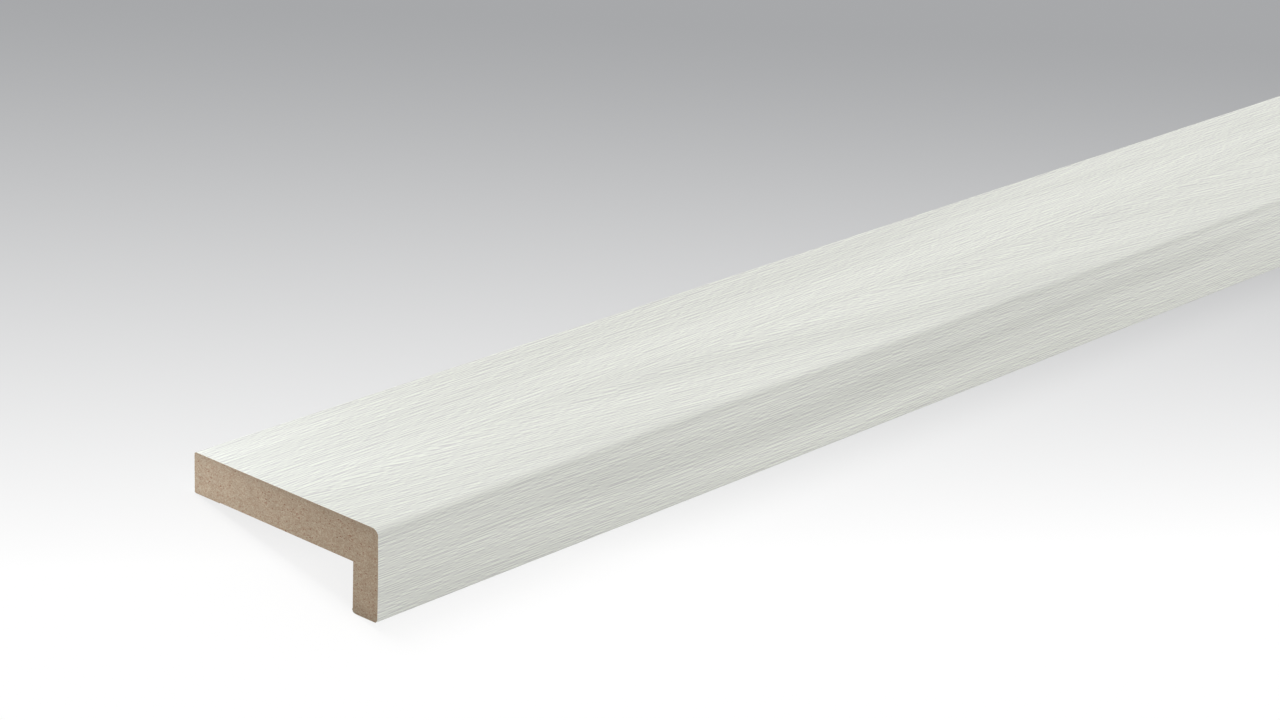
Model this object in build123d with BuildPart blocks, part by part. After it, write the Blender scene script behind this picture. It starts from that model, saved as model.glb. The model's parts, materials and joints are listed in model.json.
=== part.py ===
"""Angle cover strip: a milled L-section of fibreboard wrapped in a printed decor film.

The wide leg covers a surface, the short leg hangs down over its edge. The film runs over every face that
shows: from a lap under the wide leg, round the back edge, over the top, the nose and the front, to the heel of
the short leg. The rest of the two inner faces and the sawn ends are bare board. Sizes are in millimetres.
"""

import os
from math import asin, atan2, degrees

from build123d import *

# The finished strip, measured over the film
length = 2380.0
width = 60.0
height = 22.0
top_thickness = 10.0
leg_thickness = 8.0

# Rounded edges of the finished strip
nose_radius = 2.0
toe_radius = 1.0
heel_radius = 1.0
back_top_radius = 0.7
back_bottom_radius = 0.5

# The film, and how far it is turned under the wide leg past the rounding of the back edge
film_thickness = 0.2
back_lap = 8.0

# Height of the finished underside of the wide leg above the bottom of the short leg
underside = height - top_thickness

# The section as it is drawn for the milling cutters: front at the left, back edge at the right, top level
with BuildSketch() as finished_section:
    with BuildLine():
        FilletPolyline(
            (0, 0),
            (0, height),
            (width, height),
            (width, underside),
            (leg_thickness, underside),
            (leg_thickness, 0),
            radius=[toe_radius, nose_radius, back_top_radius, back_bottom_radius, 0, heel_radius],
            close=True,
        )
    make_face()

# The board inside, smaller by the film on every side, with its inner corner left sharp
with BuildSketch() as core_section:
    add(finished_section.sketch)
    offset(amount=-film_thickness, kind=Kind.INTERSECTION)

# The wrapped skin, without the stretch of the inner faces that lies bare from the heel to the edge of the lap
with BuildSketch() as film_section:
    add(finished_section.sketch)
    add(core_section.sketch, mode=Mode.SUBTRACT)
    bare_start = (leg_thickness - film_thickness, heel_radius)
    bare_end = (width - back_bottom_radius - back_lap, underside + film_thickness)
    with Locations(bare_start):
        Rectangle(
            bare_end[0] - bare_start[0],
            bare_end[1] - bare_start[1],
            align=(Align.MIN, Align.MIN),
            mode=Mode.SUBTRACT,
        )

# Laid on a floor the strip tips back until it rests on the heel of the short leg and on its back edge,
# so the floor is the line that touches both of those roundings from below
heel_centre = Vector(leg_thickness - heel_radius, heel_radius)
back_centre = Vector(width - back_bottom_radius, underside + back_bottom_radius)
reach = back_centre - heel_centre
rest_tilt = degrees(atan2(reach.Y, reach.X) + asin((heel_radius - back_bottom_radius) / reach.length))

# The near sawn end stands at -X, the front looks along -Y, and the floor is at zero below mid-length
resting_box = finished_section.sketch.rotate(Axis.Z, -rest_tilt).bounding_box()
near_end = Plane(
    origin=(-length / 2, -resting_box.center().X, -resting_box.min.Y),
    x_dir=(0, 1, 0),
    z_dir=(1, 0, 0),
)

# The fibreboard core, milled in one piece and sawn square at both ends
with BuildPart() as mdf_core:
    with BuildSketch(near_end):
        add(core_section.sketch, rotation=-rest_tilt)
    extrude(amount=length)
mdf_core.part.label = "mdf_core"

# The decor film, glued on the core and sawn off flush with it
with BuildPart() as decor_film:
    with BuildSketch(near_end):
        add(film_section.sketch, rotation=-rest_tilt)
    extrude(amount=length)
decor_film.part.label = "decor_film"

os.makedirs("parts", exist_ok=True)
export_step(mdf_core.part, "parts/mdf_core.step")
export_step(decor_film.part, "parts/decor_film.step")
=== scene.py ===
"""Angle cover strip, dressed: a fibreboard core wrapped in a pale oak decor film, laid on a studio floor."""

import json
from math import atan2, pi, radians

import bpy
from mathutils import Matrix, Vector


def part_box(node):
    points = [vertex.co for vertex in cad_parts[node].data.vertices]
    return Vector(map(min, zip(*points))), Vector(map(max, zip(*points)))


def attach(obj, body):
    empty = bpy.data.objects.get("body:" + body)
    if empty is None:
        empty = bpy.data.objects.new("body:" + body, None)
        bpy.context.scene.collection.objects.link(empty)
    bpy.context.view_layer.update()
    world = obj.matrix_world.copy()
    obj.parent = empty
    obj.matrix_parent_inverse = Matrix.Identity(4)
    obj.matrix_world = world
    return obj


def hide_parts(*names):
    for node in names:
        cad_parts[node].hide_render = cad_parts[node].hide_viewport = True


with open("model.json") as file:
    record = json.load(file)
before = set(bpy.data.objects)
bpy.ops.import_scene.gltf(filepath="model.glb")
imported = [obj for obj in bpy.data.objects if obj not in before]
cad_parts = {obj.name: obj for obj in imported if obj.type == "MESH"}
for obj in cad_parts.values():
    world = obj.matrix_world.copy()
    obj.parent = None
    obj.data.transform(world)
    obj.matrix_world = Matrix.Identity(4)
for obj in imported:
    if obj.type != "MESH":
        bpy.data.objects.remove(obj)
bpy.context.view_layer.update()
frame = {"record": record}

# Core
# One L-section of medium density fibreboard: wood fibre and resin pressed into a board, milled to shape and
# sawn square at both ends. It shows bare on the sawn ends and on the two inner faces.
mm = 0.001
strip_width = 60 * mm
strip_height = 22 * mm
top_thickness = 10 * mm
leg_thickness = 8 * mm
nose_radius = 2 * mm
toe_radius = 1 * mm
heel_radius = 1 * mm
back_top_radius = 0.7 * mm
back_bottom_radius = 0.5 * mm
film_thickness = 0.2 * mm
underside = strip_height - top_thickness
near_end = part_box("mdf_core")[0].x
far_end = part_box("mdf_core")[1].x

# The bare face of the short leg says how far the strip is tipped back as it lies, and where it lies: laid
# takes a point of the drawn section (along, across, up) to its place on the floor, and unlaid takes it back
leg_face = next(mount for mount in frame["record"]["mounts"] if mount["name"] == "bare_leg_face")
rest_tilt = atan2(-leg_face["axis"][2], leg_face["axis"][1])
leg_face_drawn = Vector((0, leg_thickness - film_thickness, (heel_radius + underside + film_thickness) / 2))
laid = (
    Matrix.Translation(leg_face["pos_m"])
    @ Matrix.Rotation(-rest_tilt, 4, "X")
    @ Matrix.Translation(-leg_face_drawn)
)
unlaid = laid.inverted()


def add_node(tree, kind, inputs=None, **settings):
    """Adds a node of a kind to a tree, with its settings, and sets or links its inputs."""
    made = tree.nodes.new(kind)
    for name, value in settings.items():
        setattr(made, name, value)
    for socket, value in (inputs or {}).items():
        if isinstance(value, bpy.types.Node):
            value = value.outputs[0]
        if isinstance(value, bpy.types.NodeSocket):
            tree.links.new(value, made.inputs[socket])
        else:
            made.inputs[socket].default_value = value
    return made


def linear(hex_colour):
    """The linear colour that an sRGB hex value stands for."""
    channels = [int(hex_colour[i : i + 2], 16) / 255 for i in (1, 3, 5)]
    return (*[c / 12.92 if c <= 0.04045 else ((c + 0.055) / 1.055) ** 2.4 for c in channels], 1.0)


def new_material(name):
    """A material with nothing in it yet but its shader and its output."""
    material = bpy.data.materials.new(name)
    material.use_nodes = True
    tree = material.node_tree
    tree.nodes.clear()
    shader = add_node(tree, "ShaderNodeBsdfPrincipled")
    output = add_node(tree, "ShaderNodeOutputMaterial", {"Surface": shader})
    return material, tree, shader, output


# Raw fibreboard: a beige felt of short fibre bundles lying flat in the board, each a little lighter or
# browner than the next, with a few reddish bark specks, and darker in a band along the top and bottom
# faces. It is dull.
bundle_size = 0.36 * mm
bundle_flatness = 1.6
bundle_relief = 0.05 * mm
bark_share = 0.05
cloud_size = 3.0 * mm
cloud_contrast = 0.04
face_band_depth = 1.4 * mm
face_band_shade = -0.20

raw_mdf, tree, shader, _ = new_material("raw_mdf")
place = add_node(
    tree,
    "ShaderNodeMapping",
    {
        "Vector": add_node(tree, "ShaderNodeTexCoord").outputs["Object"],
        "Location": unlaid.translation,
        "Rotation": unlaid.to_euler(),
    },
)
flattened = add_node(
    tree, "ShaderNodeVectorMath", {0: place, 1: (1, 1, bundle_flatness)}, operation="MULTIPLY"
)
bundles = add_node(tree, "ShaderNodeTexVoronoi", {"Vector": flattened, "Scale": 1 / bundle_size})
chance = add_node(tree, "ShaderNodeSeparateColor", {"Color": bundles.outputs["Color"]}).outputs
felt = add_node(
    tree,
    "ShaderNodeMix",
    {"Factor": chance["Red"], 6: linear("#97806A"), 7: linear("#B0A28D")},
    data_type="RGBA",
)
bark = add_node(
    tree, "ShaderNodeMapRange", {"Value": chance["Green"], "From Min": 1 - bark_share, "From Max": 1.0}
)
barky_felt = add_node(
    tree,
    "ShaderNodeMix",
    {"Factor": bark, 6: felt.outputs[2], 7: linear("#805540")},
    data_type="RGBA",
)
clouds = add_node(tree, "ShaderNodeTexNoise", {"Vector": place, "Scale": 1 / cloud_size, "Detail": 2.0})
cloud_shade = add_node(
    tree,
    "ShaderNodeMapRange",
    {
        "Value": clouds,
        "From Min": 0.3,
        "From Max": 0.7,
        "To Min": 1 - cloud_contrast,
        "To Max": 1 + cloud_contrast,
    },
)
# The board is darker in a band along its top and bottom faces, fading away from them
up = add_node(tree, "ShaderNodeSeparateXYZ", {"Vector": place}).outputs["Z"]
down = add_node(tree, "ShaderNodeMath", {0: strip_height, 1: up}, operation="SUBTRACT")
nearest_face = add_node(tree, "ShaderNodeMath", {0: up, 1: down}, operation="MINIMUM")
near_face_falloff = add_node(tree, "ShaderNodeMath", {0: nearest_face, 1: -1 / face_band_depth}, operation="MULTIPLY")
near_face_band = add_node(tree, "ShaderNodeMath", {0: near_face_falloff}, operation="EXPONENT")
board_shade = add_node(
    tree, "ShaderNodeMath", {0: near_face_band, 1: face_band_shade, 2: cloud_shade}, operation="MULTIPLY_ADD"
)
board_colour = add_node(
    tree, "ShaderNodeVectorMath", {0: barky_felt.outputs[2], "Scale": board_shade}, operation="SCALE"
)
fibre_relief = add_node(
    tree, "ShaderNodeBump", {"Height": chance["Red"], "Strength": 0.4, "Distance": bundle_relief}
)
tree.links.new(board_colour.outputs[0], shader.inputs["Base Color"])
tree.links.new(fibre_relief.outputs[0], shader.inputs["Normal"])
shader.inputs["Roughness"].default_value = 0.9
shader.inputs["Specular IOR Level"].default_value = 0.2

# One tree sweeps a section for the core and for the film: it rounds the outline's corners, divides the faces
# that carry relief, draws the outline along the length, and presses shallow ridges into those faces.
section = bpy.data.node_groups.new("swept_section", "GeometryNodeTree")
section.interface.new_socket("Geometry", in_out="INPUT", socket_type="NodeSocketGeometry")
section_inputs = {}
for name, kind in (
    ("Near end", "Float"),
    ("Far end", "Float"),
    ("Rings", "Int"),
    ("Rounding steps", "Int"),
    ("Face step", "Float"),
    ("Ridge depth", "Float"),
    ("Ridge width", "Float"),
    ("Ridge length", "Float"),
    ("Seed", "Float"),
    ("Material", "Material"),
):
    socket = section.interface.new_socket(name, in_out="INPUT", socket_type=f"NodeSocket{kind}")
    section_inputs[name] = socket.identifier
section.interface.new_socket("Geometry", in_out="OUTPUT", socket_type="NodeSocketGeometry")

given = add_node(section, "NodeGroupInput").outputs
outline = add_node(section, "GeometryNodeMeshToCurve", {"Mesh": given["Geometry"]})
rounding = add_node(section, "GeometryNodeInputNamedAttribute", {"Name": "rounding"}, data_type="FLOAT")
rounded = add_node(
    section,
    "GeometryNodeFilletCurve",
    {"Curve": outline, "Count": given["Rounding steps"], "Radius": rounding, "Limit Radius": True},
    mode="POLY",
)
point = add_node(section, "GeometryNodeInputPosition")
next_index = add_node(
    section,
    "GeometryNodeOffsetPointInCurve",
    {"Point Index": add_node(section, "GeometryNodeInputIndex"), "Offset": 1},
)
next_point = add_node(
    section,
    "GeometryNodeFieldAtIndex",
    {"Value": point, "Index": next_index.outputs["Point Index"]},
    data_type="FLOAT_VECTOR",
    domain="POINT",
)
run = add_node(section, "ShaderNodeVectorMath", {0: point, 1: next_point}, operation="DISTANCE")
cuts = add_node(
    section, "ShaderNodeMath", {0: run.outputs["Value"], 1: given["Face step"]}, operation="DIVIDE"
)
depth = add_node(section, "GeometryNodeInputNamedAttribute", {"Name": "depth"}, data_type="FLOAT")
on_face = add_node(section, "ShaderNodeMath", {0: depth, 1: 0.01 * mm}, operation="LESS_THAN")
face_cuts = add_node(section, "ShaderNodeMath", {0: cuts, 1: on_face}, operation="MULTIPLY")
divided = add_node(section, "GeometryNodeSubdivideCurve", {"Curve": rounded, "Cuts": face_cuts})
girth = add_node(section, "GeometryNodeSplineParameter").outputs["Length"]
measured = add_node(
    section,
    "GeometryNodeStoreNamedAttribute",
    {"Geometry": divided, "Name": "girth", "Value": girth},
    data_type="FLOAT",
    domain="POINT",
)
start = add_node(section, "ShaderNodeCombineXYZ", {"X": given["Near end"]})
end = add_node(section, "ShaderNodeCombineXYZ", {"X": given["Far end"]})
rail = add_node(section, "GeometryNodeCurvePrimitiveLine", {"Start": start, "End": end})
stepped = add_node(
    section, "GeometryNodeResampleCurve", {"Curve": rail, "Count": given["Rings"]}, mode="COUNT"
)
upright = add_node(section, "GeometryNodeSetCurveNormal", {"Curve": stepped}, mode="Z_UP")
swept = add_node(
    section,
    "GeometryNodeCurveToMesh",
    {"Curve": upright, "Profile Curve": measured, "Fill Caps": True},
)
merged = add_node(section, "GeometryNodeMergeByDistance", {"Geometry": swept, "Distance": 0.001 * mm})
along = add_node(section, "ShaderNodeSeparateXYZ", {"Vector": point}).outputs["X"]
around = add_node(section, "GeometryNodeInputNamedAttribute", {"Name": "girth"}, data_type="FLOAT")
film_place = add_node(section, "ShaderNodeCombineXYZ", {"X": along, "Y": around, "Z": depth})
placed = add_node(
    section,
    "GeometryNodeStoreNamedAttribute",
    {"Geometry": merged, "Name": "film_place", "Value": film_place},
    data_type="FLOAT_VECTOR",
    domain="POINT",
)
ridge_size = add_node(
    section, "ShaderNodeCombineXYZ", {"X": given["Ridge length"], "Y": given["Ridge width"], "Z": 1.0}
)
ridge_place = add_node(section, "ShaderNodeVectorMath", {0: film_place, 1: ridge_size}, operation="DIVIDE")
ridges = add_node(
    section,
    "ShaderNodeTexNoise",
    {"Vector": ridge_place, "W": given["Seed"], "Scale": 1.0, "Detail": 1.0},
    noise_dimensions="4D",
)
face_depth = add_node(section, "ShaderNodeMath", {0: given["Ridge depth"], 1: on_face}, operation="MULTIPLY")
sunk = add_node(section, "ShaderNodeMath", {0: ridges, 1: face_depth}, operation="MULTIPLY")
inward = add_node(
    section,
    "ShaderNodeVectorMath",
    {0: add_node(section, "GeometryNodeInputNormal"), "Scale": -1.0},
    operation="SCALE",
)
pressed = add_node(section, "ShaderNodeVectorMath", {0: inward, "Scale": sunk}, operation="SCALE")
embossed = add_node(section, "GeometryNodeSetPosition", {"Geometry": placed, "Offset": pressed})
smooth = add_node(section, "GeometryNodeSetShadeSmooth", {"Geometry": embossed, "Shade Smooth": True})
edge_angle = add_node(section, "GeometryNodeInputMeshEdgeAngle").outputs["Unsigned Angle"]
sharp = add_node(section, "ShaderNodeMath", {0: edge_angle, 1: radians(40)}, operation="GREATER_THAN")
creased = add_node(
    section,
    "GeometryNodeSetShadeSmooth",
    {"Geometry": smooth, "Selection": sharp, "Shade Smooth": False},
    domain="EDGE",
)
realized = add_node(section, "GeometryNodeRealizeInstances", {"Geometry": creased})
finished = add_node(
    section, "GeometryNodeSetMaterial", {"Geometry": realized, "Material": given["Material"]}
)
add_node(section, "NodeGroupOutput", {"Geometry": finished})


def sweep(name, outline_corners, sizes):
    """A piece drawn along the strip from outline corners of (across, up, rounding, depth under the face)."""
    # A swept outline comes out turned half round, so it is drawn turned half round
    corner_mesh = bpy.data.meshes.new(name)
    count = len(outline_corners)
    corner_mesh.from_pydata(
        [(-across, -up, 0) for across, up, _, _ in outline_corners],
        [(i, (i + 1) % count) for i in range(count)],
        [],
    )
    for attribute, column in (("rounding", 2), ("depth", 3)):
        layer = corner_mesh.attributes.new(attribute, "FLOAT", "POINT")
        layer.data.foreach_set("value", [corner[column] for corner in outline_corners])
    piece = bpy.data.objects.new(name, corner_mesh)
    bpy.context.scene.collection.objects.link(piece)
    modifier = piece.modifiers.new("swept_section", "NODES")
    modifier.node_group = section
    for size, value in sizes.items():
        modifier[section_inputs[size]] = value
    evaluated = piece.evaluated_get(bpy.context.evaluated_depsgraph_get())
    mesh = bpy.data.meshes.new_from_object(evaluated)
    piece.modifiers.remove(modifier)
    piece.data = mesh
    bpy.data.meshes.remove(corner_mesh)
    mesh.transform(laid)
    return piece


def add_bake_map(piece, turn, turn_height, sides_height, end_place):
    """Adds the map that a piece's colours are baked through: sides unrolled in three rows, ends above them.

    The sides from the outline's first corner to the drawn point turn take turn_height of a row's height, so
    that faces which show get more room than hidden ones. end_place lays out a corner of an end.
    """
    rows = 3
    row_margin = 0.01
    side_margin = 0.005
    mesh = piece.data
    drawn = [unlaid @ vertex.co for vertex in mesh.vertices]
    places = [value.vector.copy() for value in mesh.attributes["film_place"].data]
    ring = [i for i, place in enumerate(places) if place.x < near_end + 0.01 * mm]
    first = min(ring, key=lambda i: places[i].y)
    last = max(ring, key=lambda i: places[i].y)
    whole_girth = places[last].y + (drawn[first].yz - drawn[last].yz).length
    turn_girth = places[min(ring, key=lambda i: (drawn[i].yz - Vector(turn)).length)].y
    row_length = (far_end - near_end) / rows
    corners = mesh.uv_layers.new(name="OFBake").uv

    def row_height(girth):
        if girth <= turn_girth:
            return turn_height * girth / turn_girth
        return turn_height + (1 - turn_height) * (girth - turn_girth) / (whole_girth - turn_girth)

    for face in mesh.polygons:
        girths = [places[i].y for i in face.vertices]
        if len(girths) > 4:
            for corner, i, girth in zip(face.loop_indices, face.vertices, girths):
                height = row_height(girth)
                corners[corner].vector = end_place(face.center.x > 0, drawn[i], height, places[i].z)
            continue
        row = int((face.center.x - near_end) / row_length)
        # The last face of each ring ends at the first corner again
        closing = min(girths) == 0 and max(girths) == places[last].y
        for corner, i, girth in zip(face.loop_indices, face.vertices, girths):
            height = row_height(whole_girth if closing and girth == 0 else girth)
            along = (places[i].x - near_end) / row_length - row
            corners[corner].vector = (
                1 - side_margin - (1 - 2 * side_margin) * along,
                (row + row_margin + (1 - 2 * row_margin) * height) / rows * sides_height,
            )


# The core lies inside the finished outline by the thickness of the film, t
t = film_thickness
rounding_steps = 7
core_corners = [
    (strip_width - t, underside + t, back_bottom_radius - t, 0),
    (strip_width - t, strip_height - t, back_top_radius - t, 0),
    (t, strip_height - t, nose_radius - t, 0),
    (t, t, toe_radius - t, 0),
    (leg_thickness - t, t, heel_radius - t, 0),
    (leg_thickness - t, underside + t, 0, 0),
]
core = sweep(
    "milled_core",
    core_corners,
    {
        "Near end": near_end,
        "Far end": far_end,
        "Rings": 4,
        "Rounding steps": rounding_steps,
        "Face step": strip_width,
        "Ridge depth": 0.0,
        "Ridge width": 1.0,
        "Ridge length": 1.0,
        "Seed": 0.0,
        "Material": raw_mdf,
    },
)
core_bare_share = 0.3
core_sides_height = 0.27
core_end_start = 0.275
core_end_spacing = 0.3625
core_end_margin = 0.01


def core_end_place(far, point, _height, _depth):
    """Both sawn ends lie one above the other, as wide as the map: they show, and their fibre is fine."""
    across = point.y if far else strip_width - point.y
    scale = (1 - 2 * core_end_margin) / strip_width
    return core_end_margin + scale * across, core_end_start + core_end_spacing * far + scale * point.z


add_bake_map(core, (leg_thickness - t, heel_radius), core_bare_share, core_sides_height, core_end_place)
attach(core, "root")
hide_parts("mdf_core")

# Film
# A printed and embossed decor film, glued round the core from a lap under the wide leg, over the back edge,
# the top, the nose and the front, to the heel of the short leg, and sawn off flush with the core.
back_lap = 8 * mm
film_corners = [
    (strip_width - back_bottom_radius - back_lap, underside, 0, 0),
    (strip_width, underside, back_bottom_radius, 0),
    (strip_width, strip_height, back_top_radius, 0),
    (0, strip_height, nose_radius, 0),
    (0, 0, toe_radius, 0),
    (leg_thickness, 0, heel_radius, 0),
    (leg_thickness, heel_radius, 0, 0),
    (leg_thickness - t, heel_radius, 0, t),
    (leg_thickness - t, t, heel_radius - t, t),
    (t, t, toe_radius - t, t),
    (t, strip_height - t, nose_radius - t, t),
    (strip_width - t, strip_height - t, back_top_radius - t, t),
    (strip_width - t, underside + t, back_bottom_radius - t, t),
    (strip_width - back_bottom_radius - back_lap, underside + t, 0, t),
]

# White-washed oak print: an off-white paint with fine pores along the grain, pressed in as short dashes and
# inked a cool grey, each with a white rim beside it, and soft grey growth bands. The rim is partly white lime
# wash and partly a painted highlight, and the pore's grey partly ink and partly painted shade, as a
# pressed-in pore would be lit. The bands are stronger on the front, which is partly painted shade that makes
# the front darker than the top and the nose's edge crisper. Satin, never glossy. Straight grain covers most
# of the film, and arched grain, as from the heart of a plank, the front of the top. Pores are drawn about 1.5
# times as coarse as real ones, so that they show.
pore_pitch = 0.75 * mm
front_crowding = 0.45
pore_length = 14 * mm
pore_relief_depth = 0.05 * mm
pore_sway = 0.3 * mm
sway_width = 3 * mm
sway_length = 40 * mm
band_width = 12 * mm
band_length = 200 * mm
band_detail = 2.5
straight_band_seed = 1574.6
arched_band_seed = 1001.3
# The front's bands are darker than the top's partly as painted shade on the front
top_band_shade = -0.11
front_band_and_painted_shade = -0.17
wander = 1.0 * mm
wander_width = 25 * mm
wander_length = 150 * mm
back_face = top_thickness - back_bottom_radius - back_top_radius
top_start = back_lap + (back_bottom_radius + back_top_radius) * pi / 2 + back_face
nose_start = top_start + strip_width - back_top_radius - nose_radius
arch_axis = top_start + 31 * mm
arch_reach = 26 * mm
arch_bluntness = 4 * mm
arch_slope = 0.14

oak_decor, tree, shader, _ = new_material("white_oak_decor_film")
place = add_node(tree, "ShaderNodeAttribute", attribute_name="film_place").outputs["Vector"]
along_around = add_node(tree, "ShaderNodeSeparateXYZ", {"Vector": place}).outputs


def streaks(flow, length, width, detail, seed):
    """Noise drawn out along the grain's flow, in streaks of about this length and width."""
    scaled = add_node(
        tree, "ShaderNodeVectorMath", {0: flow, 1: (1 / length, 1 / width, 0)}, operation="MULTIPLY"
    )
    return add_node(
        tree,
        "ShaderNodeTexNoise",
        {"Vector": scaled, "W": seed, "Scale": 1.0, "Detail": detail, "Roughness": 0.6},
        noise_dimensions="4D",
    )


drift = add_node(
    tree,
    "ShaderNodeMapRange",
    {
        "Value": streaks(place, wander_length, wander_width, 1.0, 1.0),
        "From Min": 0.25,
        "From Max": 0.75,
        "To Min": -wander,
        "To Max": wander,
    },
)
straight = add_node(tree, "ShaderNodeMath", {0: along_around["Y"], 1: drift}, operation="ADD")
straight_flow = add_node(tree, "ShaderNodeCombineXYZ", {"X": along_around["X"], "Y": straight})
from_axis = add_node(tree, "ShaderNodeMath", {0: straight, 1: arch_axis}, operation="SUBTRACT")
blunted = add_node(
    tree, "ShaderNodeMath", {0: from_axis, 1: from_axis, 2: arch_bluntness**2}, operation="MULTIPLY_ADD"
)
arch = add_node(tree, "ShaderNodeMath", {0: blunted}, operation="SQRT")
leaning_arch = add_node(
    tree, "ShaderNodeMath", {0: along_around["X"], 1: -arch_slope, 2: arch}, operation="MULTIPLY_ADD"
)
arched_flow = add_node(tree, "ShaderNodeCombineXYZ", {"X": along_around["X"], "Y": leaning_arch})
arch_begins = add_node(
    tree, "ShaderNodeMapRange", {"Value": from_axis, "From Min": 0.5 * mm, "From Max": 3.5 * mm}
)
arch_ends = add_node(
    tree,
    "ShaderNodeMapRange",
    {"Value": from_axis, "From Min": arch_reach, "From Max": arch_reach + 4 * mm, "To Min": 1, "To Max": 0},
)
arched = add_node(tree, "ShaderNodeMath", {0: arch_begins, 1: arch_ends}, operation="MULTIPLY")


def pores_along(across):
    """Pores side by side along the grain, dashed by chance: 1 on a rim, -1 in a pore.

    The rim's white is partly lime wash and partly painted highlight; the pore's grey is partly ink and partly
    painted shade.
    """
    line = add_node(tree, "ShaderNodeMath", {0: across, 1: pore_pitch}, operation="SNAP")
    chance = add_node(tree, "ShaderNodeTexWhiteNoise", {"W": line}, noise_dimensions="1D")
    lengths = add_node(tree, "ShaderNodeMath", {0: along_around["X"], 1: pore_length}, operation="DIVIDE")
    begun = add_node(tree, "ShaderNodeMath", {0: chance, 1: 500.0, 2: lengths}, operation="MULTIPLY_ADD")
    dashes = add_node(
        tree,
        "ShaderNodeTexNoise",
        {"W": begun, "Scale": 1.0, "Detail": 3.0, "Roughness": 0.7},
        noise_dimensions="1D",
    )
    strength = add_node(
        tree,
        "ShaderNodeMapRange",
        {"Value": dashes, "From Min": 0.42, "From Max": 0.58, "To Min": -1.0, "To Max": 1.0},
    )
    turn = add_node(tree, "ShaderNodeMath", {0: across, 1: 2 * pi / pore_pitch}, operation="MULTIPLY")
    wave = add_node(tree, "ShaderNodeMath", {0: turn}, operation="SINE")
    return add_node(tree, "ShaderNodeMath", {0: strength, 1: wave}, operation="MULTIPLY")


def on_grain(straight_value, arched_value):
    """The straight grain's value, giving way to the arched grain's where that lies."""
    return add_node(
        tree, "ShaderNodeMix", {"Factor": arched, 2: straight_value, 3: arched_value}, data_type="FLOAT"
    )


sway = add_node(
    tree,
    "ShaderNodeMapRange",
    {
        "Value": streaks(straight_flow, sway_length, sway_width, 1.0, 6.0),
        "From Min": 0.25,
        "From Max": 0.75,
        "To Min": -pore_sway,
        "To Max": pore_sway,
    },
)
past_nose = add_node(tree, "ShaderNodeMath", {0: along_around["Y"], 1: nose_start}, operation="SUBTRACT")
on_front = add_node(tree, "ShaderNodeMath", {0: past_nose, 1: 0.0}, operation="MAXIMUM")
crowded = add_node(
    tree, "ShaderNodeMath", {0: on_front, 1: front_crowding, 2: sway}, operation="MULTIPLY_ADD"
)
straight_lines = add_node(tree, "ShaderNodeMath", {0: straight, 1: crowded}, operation="ADD")
arched_lines = add_node(tree, "ShaderNodeMath", {0: leaning_arch, 1: crowded}, operation="ADD")
pores = on_grain(pores_along(straight_lines), pores_along(arched_lines))
# Each pore's grey and the white rim beside it: partly ink and lime wash, partly painted shade and highlight
pore_ink_and_painted_rim_light = add_node(tree, "ShaderNodeMapRange", {"Value": pores, "From Min": -1.0, "From Max": 1.0})
grain_and_painted_relief_colour = add_node(
    tree,
    "ShaderNodeMix",
    {"Factor": pore_ink_and_painted_rim_light, 6: linear("#CDCBCB"), 7: linear("#F3F7EB")},
    data_type="RGBA",
)
bands = on_grain(
    streaks(straight_flow, band_length, band_width, band_detail, straight_band_seed),
    streaks(arched_flow, band_length, band_width, band_detail, arched_band_seed),
)
band_peaks = add_node(tree, "ShaderNodeMapRange", {"Value": bands, "From Min": 0.35, "From Max": 0.65})
# Band shade steps from the top's to the front's just past where the nose begins: the front's extra darkening
# is partly painted shade, making the front darker than the top and the nose's edge crisper
band_and_painted_front_shade = add_node(
    tree,
    "ShaderNodeMapRange",
    {
        "Value": along_around["Y"],
        "From Min": nose_start + 1 * mm,
        "From Max": nose_start + 3 * mm,
        "To Min": top_band_shade,
        "To Max": front_band_and_painted_shade,
    },
)
shading = add_node(
    tree, "ShaderNodeMath", {0: band_peaks, 1: band_and_painted_front_shade, 2: 1.0}, operation="MULTIPLY_ADD"
)
inked = add_node(
    tree, "ShaderNodeVectorMath", {0: grain_and_painted_relief_colour.outputs[2], "Scale": shading}, operation="SCALE"
)
in_film = add_node(
    tree,
    "ShaderNodeMapRange",
    {"Value": along_around["Z"], "From Min": 0.0, "From Max": 0.15 * film_thickness},
)
film_colour = add_node(
    tree,
    "ShaderNodeMix",
    {"Factor": in_film, 6: inked, 7: linear("#9C8870")},
    data_type="RGBA",
)
pore_relief = add_node(
    tree, "ShaderNodeBump", {"Height": pore_ink_and_painted_rim_light, "Strength": 0.25, "Distance": pore_relief_depth}
)
tree.links.new(film_colour.outputs[2], shader.inputs["Base Color"])
tree.links.new(pore_relief.outputs[0], shader.inputs["Normal"])
shader.inputs["Roughness"].default_value = 0.55
shader.inputs["Specular IOR Level"].default_value = 0.3

film = sweep(
    "oak_film",
    film_corners,
    {
        "Near end": near_end,
        "Far end": far_end,
        "Rings": 361,
        "Rounding steps": rounding_steps,
        "Face step": 0.55 * mm,
        "Ridge depth": 0.03 * mm,
        "Ridge width": 2.2 * mm,
        "Ridge length": 60 * mm,
        "Seed": 4.0,
        "Material": oak_decor,
    },
)
film_outside = 0.92
film_sides_height = 0.975
film_end_start = 0.98
film_end_spacing = 0.01
film_end_height = 0.008
film_end_margin = 0.005


def film_end_place(far, _point, height, depth):
    """The film's sawn edge lies drawn out straight, its outer side below its inner side."""
    outer = height <= film_outside
    along = height / film_outside if outer else (1 - height) / (1 - film_outside)
    across = film_end_margin + (1 - 2 * film_end_margin) * (along if far else 1 - along)
    return across, film_end_start + film_end_spacing * far + film_end_height * depth / t


add_bake_map(film, (leg_thickness, heel_radius), film_outside, film_sides_height, film_end_place)
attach(film, "root")
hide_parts("decor_film")

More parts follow.
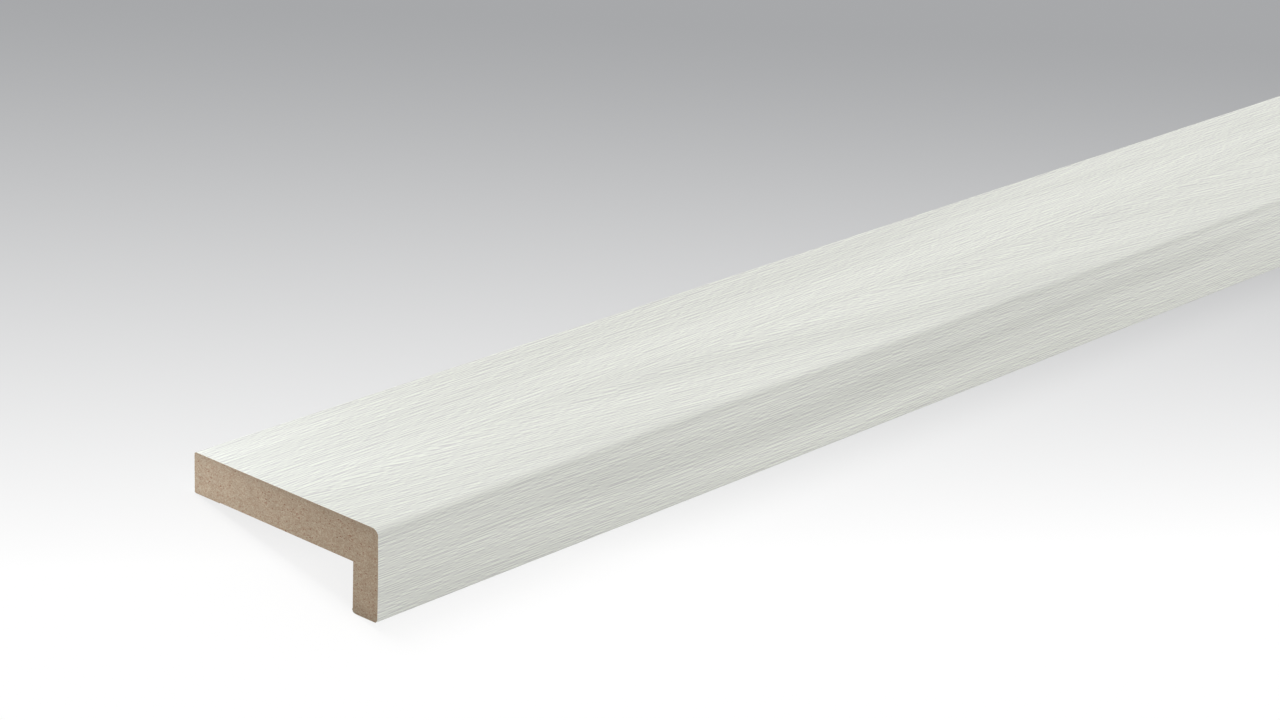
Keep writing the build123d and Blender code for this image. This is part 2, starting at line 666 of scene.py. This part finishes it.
# Camera
# The photograph's view, taken against the strip's own faces and tipped back with the strip.
image_width_px = 1280
focal_length_px = 3385.8
sensor_width = 36.0
eye = Vector((near_end - 460.13 * mm, -480.04 * mm, 310.33 * mm))
yaw = radians(41.55)
pitch = radians(20.444)
roll = radians(-2.478)
lens = bpy.data.cameras.new("view")
lens.sensor_width = sensor_width
lens.lens = sensor_width * focal_length_px / image_width_px
lens.clip_end = 200.0
camera = bpy.data.objects.new("view", lens)
bpy.context.scene.collection.objects.link(camera)
camera.matrix_world = (
    laid
    @ Matrix.Translation(eye)
    @ Matrix.Rotation(yaw - pi / 2, 4, "Z")
    @ Matrix.Rotation(pi / 2 - pitch, 4, "X")
    @ Matrix.Rotation(-roll, 4, "Z")
)
bpy.context.scene.camera = camera

# Floor
# A plain matt studio floor, white in front and fading to grey behind, which takes the strip's shadow.
floor_reach = 40.0
floor_drop = 0.1 * mm
# Where the fade begins and ends, in metres from the origin along the way it runs, and how it bends
white_until = -0.533
grey_from = -0.246
fade_bend = 1.45
# Most of what the camera sees of the floor is a glow of its own, so the shadow on it stays faint
glow_share = 0.85
floor_mesh = bpy.data.meshes.new("studio_floor")
floor_mesh.from_pydata(
    [(x * floor_reach, y * floor_reach, -floor_drop) for x, y in ((-1, -1), (1, -1), (1, 1), (-1, 1))],
    [],
    [(0, 1, 2, 3)],
)
floor = bpy.data.objects.new("studio_floor", floor_mesh)
bpy.context.scene.collection.objects.link(floor)
# The fade runs square to the lines of the floor that the photograph shows level
across_view, _, back_view = camera.matrix_world.to_3x3().col
level_line = across_view - back_view * (across_view.z / back_view.z)
fade_way = Vector((-level_line.y, level_line.x, 0)).normalized()
floor_paint, tree, shader, output = new_material("matt_floor_paint")
place = add_node(tree, "ShaderNodeTexCoord").outputs["Object"]
distance = add_node(tree, "ShaderNodeVectorMath", {0: place, 1: fade_way}, operation="DOT_PRODUCT")
nearness = add_node(
    tree,
    "ShaderNodeMapRange",
    {"Value": distance.outputs["Value"], "From Min": grey_from, "From Max": white_until},
)
whiteness = add_node(tree, "ShaderNodeMath", {0: nearness, 1: fade_bend}, operation="POWER")
fade_colour = add_node(
    tree,
    "ShaderNodeMix",
    {"Factor": whiteness, 6: linear("#A7A8AA"), 7: linear("#FFFFFF")},
    data_type="RGBA",
)
seen = add_node(tree, "ShaderNodeLightPath").outputs["Is Camera Ray"]
seen_colour = add_node(
    tree,
    "ShaderNodeMix",
    {"Factor": seen, 6: linear("#FBFBFB"), 7: fade_colour.outputs[2]},
    data_type="RGBA",
)
tree.links.new(seen_colour.outputs[2], shader.inputs["Base Color"])
shader.inputs["Roughness"].default_value = 1.0
shader.inputs["Specular IOR Level"].default_value = 0.0
glow = add_node(tree, "ShaderNodeEmission", {"Color": fade_colour.outputs[2], "Strength": 1.0})
seen_glow = add_node(tree, "ShaderNodeMath", {0: seen, 1: glow_share}, operation="MULTIPLY")
seen_floor = add_node(tree, "ShaderNodeMixShader", {0: seen_glow, 1: shader, 2: glow})
tree.links.new(seen_floor.outputs[0], output.inputs["Surface"])
floor_mesh.materials.append(floor_paint)

# Light
# An even white studio sky, a large soft lamp overhead and a little behind, a softer fill from the front, and
# a small gridded softbox low behind the near end, which lifts the back of the sawn face and the corner above.
sky_strength = 0.45
studio = bpy.data.worlds.new("studio_sky")
bpy.context.scene.world = studio
studio.use_nodes = True
studio.node_tree.nodes.clear()
sky = add_node(studio.node_tree, "ShaderNodeBackground", {"Color": (1, 1, 1, 1), "Strength": sky_strength})
add_node(studio.node_tree, "ShaderNodeOutputWorld", {"Surface": sky})


def add_far_lamp(name, energy, softness, shines_from):
    """A large lamp far off, which shines from a direction and is as soft as the angle it takes up."""
    light = bpy.data.lights.new(name, "SUN")
    light.energy = energy
    light.angle = softness
    lamp = bpy.data.objects.new(name, light)
    bpy.context.scene.collection.objects.link(lamp)
    lamp.rotation_euler = Vector(shines_from).to_track_quat("Z", "Y").to_euler()


add_far_lamp("overhead_lamp", 1.74, radians(25), (0.0, 0.468, 0.884))
add_far_lamp("front_fill", 1.10, radians(60), (-0.40, -0.89, 0.20))
softbox_light = bpy.data.lights.new("end_softbox", "AREA")
softbox_light.energy = 0.0072
softbox_light.color = (0.86, 0.91, 1.0)
softbox_light.size = 40 * mm
softbox_light.spread = radians(60)
softbox = bpy.data.objects.new("end_softbox", softbox_light)
bpy.context.scene.collection.objects.link(softbox)
softbox_from = Vector((near_end - 70 * mm, 80 * mm, 30 * mm))
softbox_at = Vector((near_end, 30 * mm, 8 * mm))
softbox.location = softbox_from
softbox.rotation_euler = (softbox_from - softbox_at).to_track_quat("Z", "Y").to_euler()
softbox.visible_camera = False
flagged_off_floor = bpy.data.collections.new("lit_by_end_softbox")
flagged_off_floor.objects.link(core)
flagged_off_floor.objects.link(film)
softbox.light_linking.receiver_collection = flagged_off_floor

bpy.context.scene.view_settings.view_transform = "Standard"
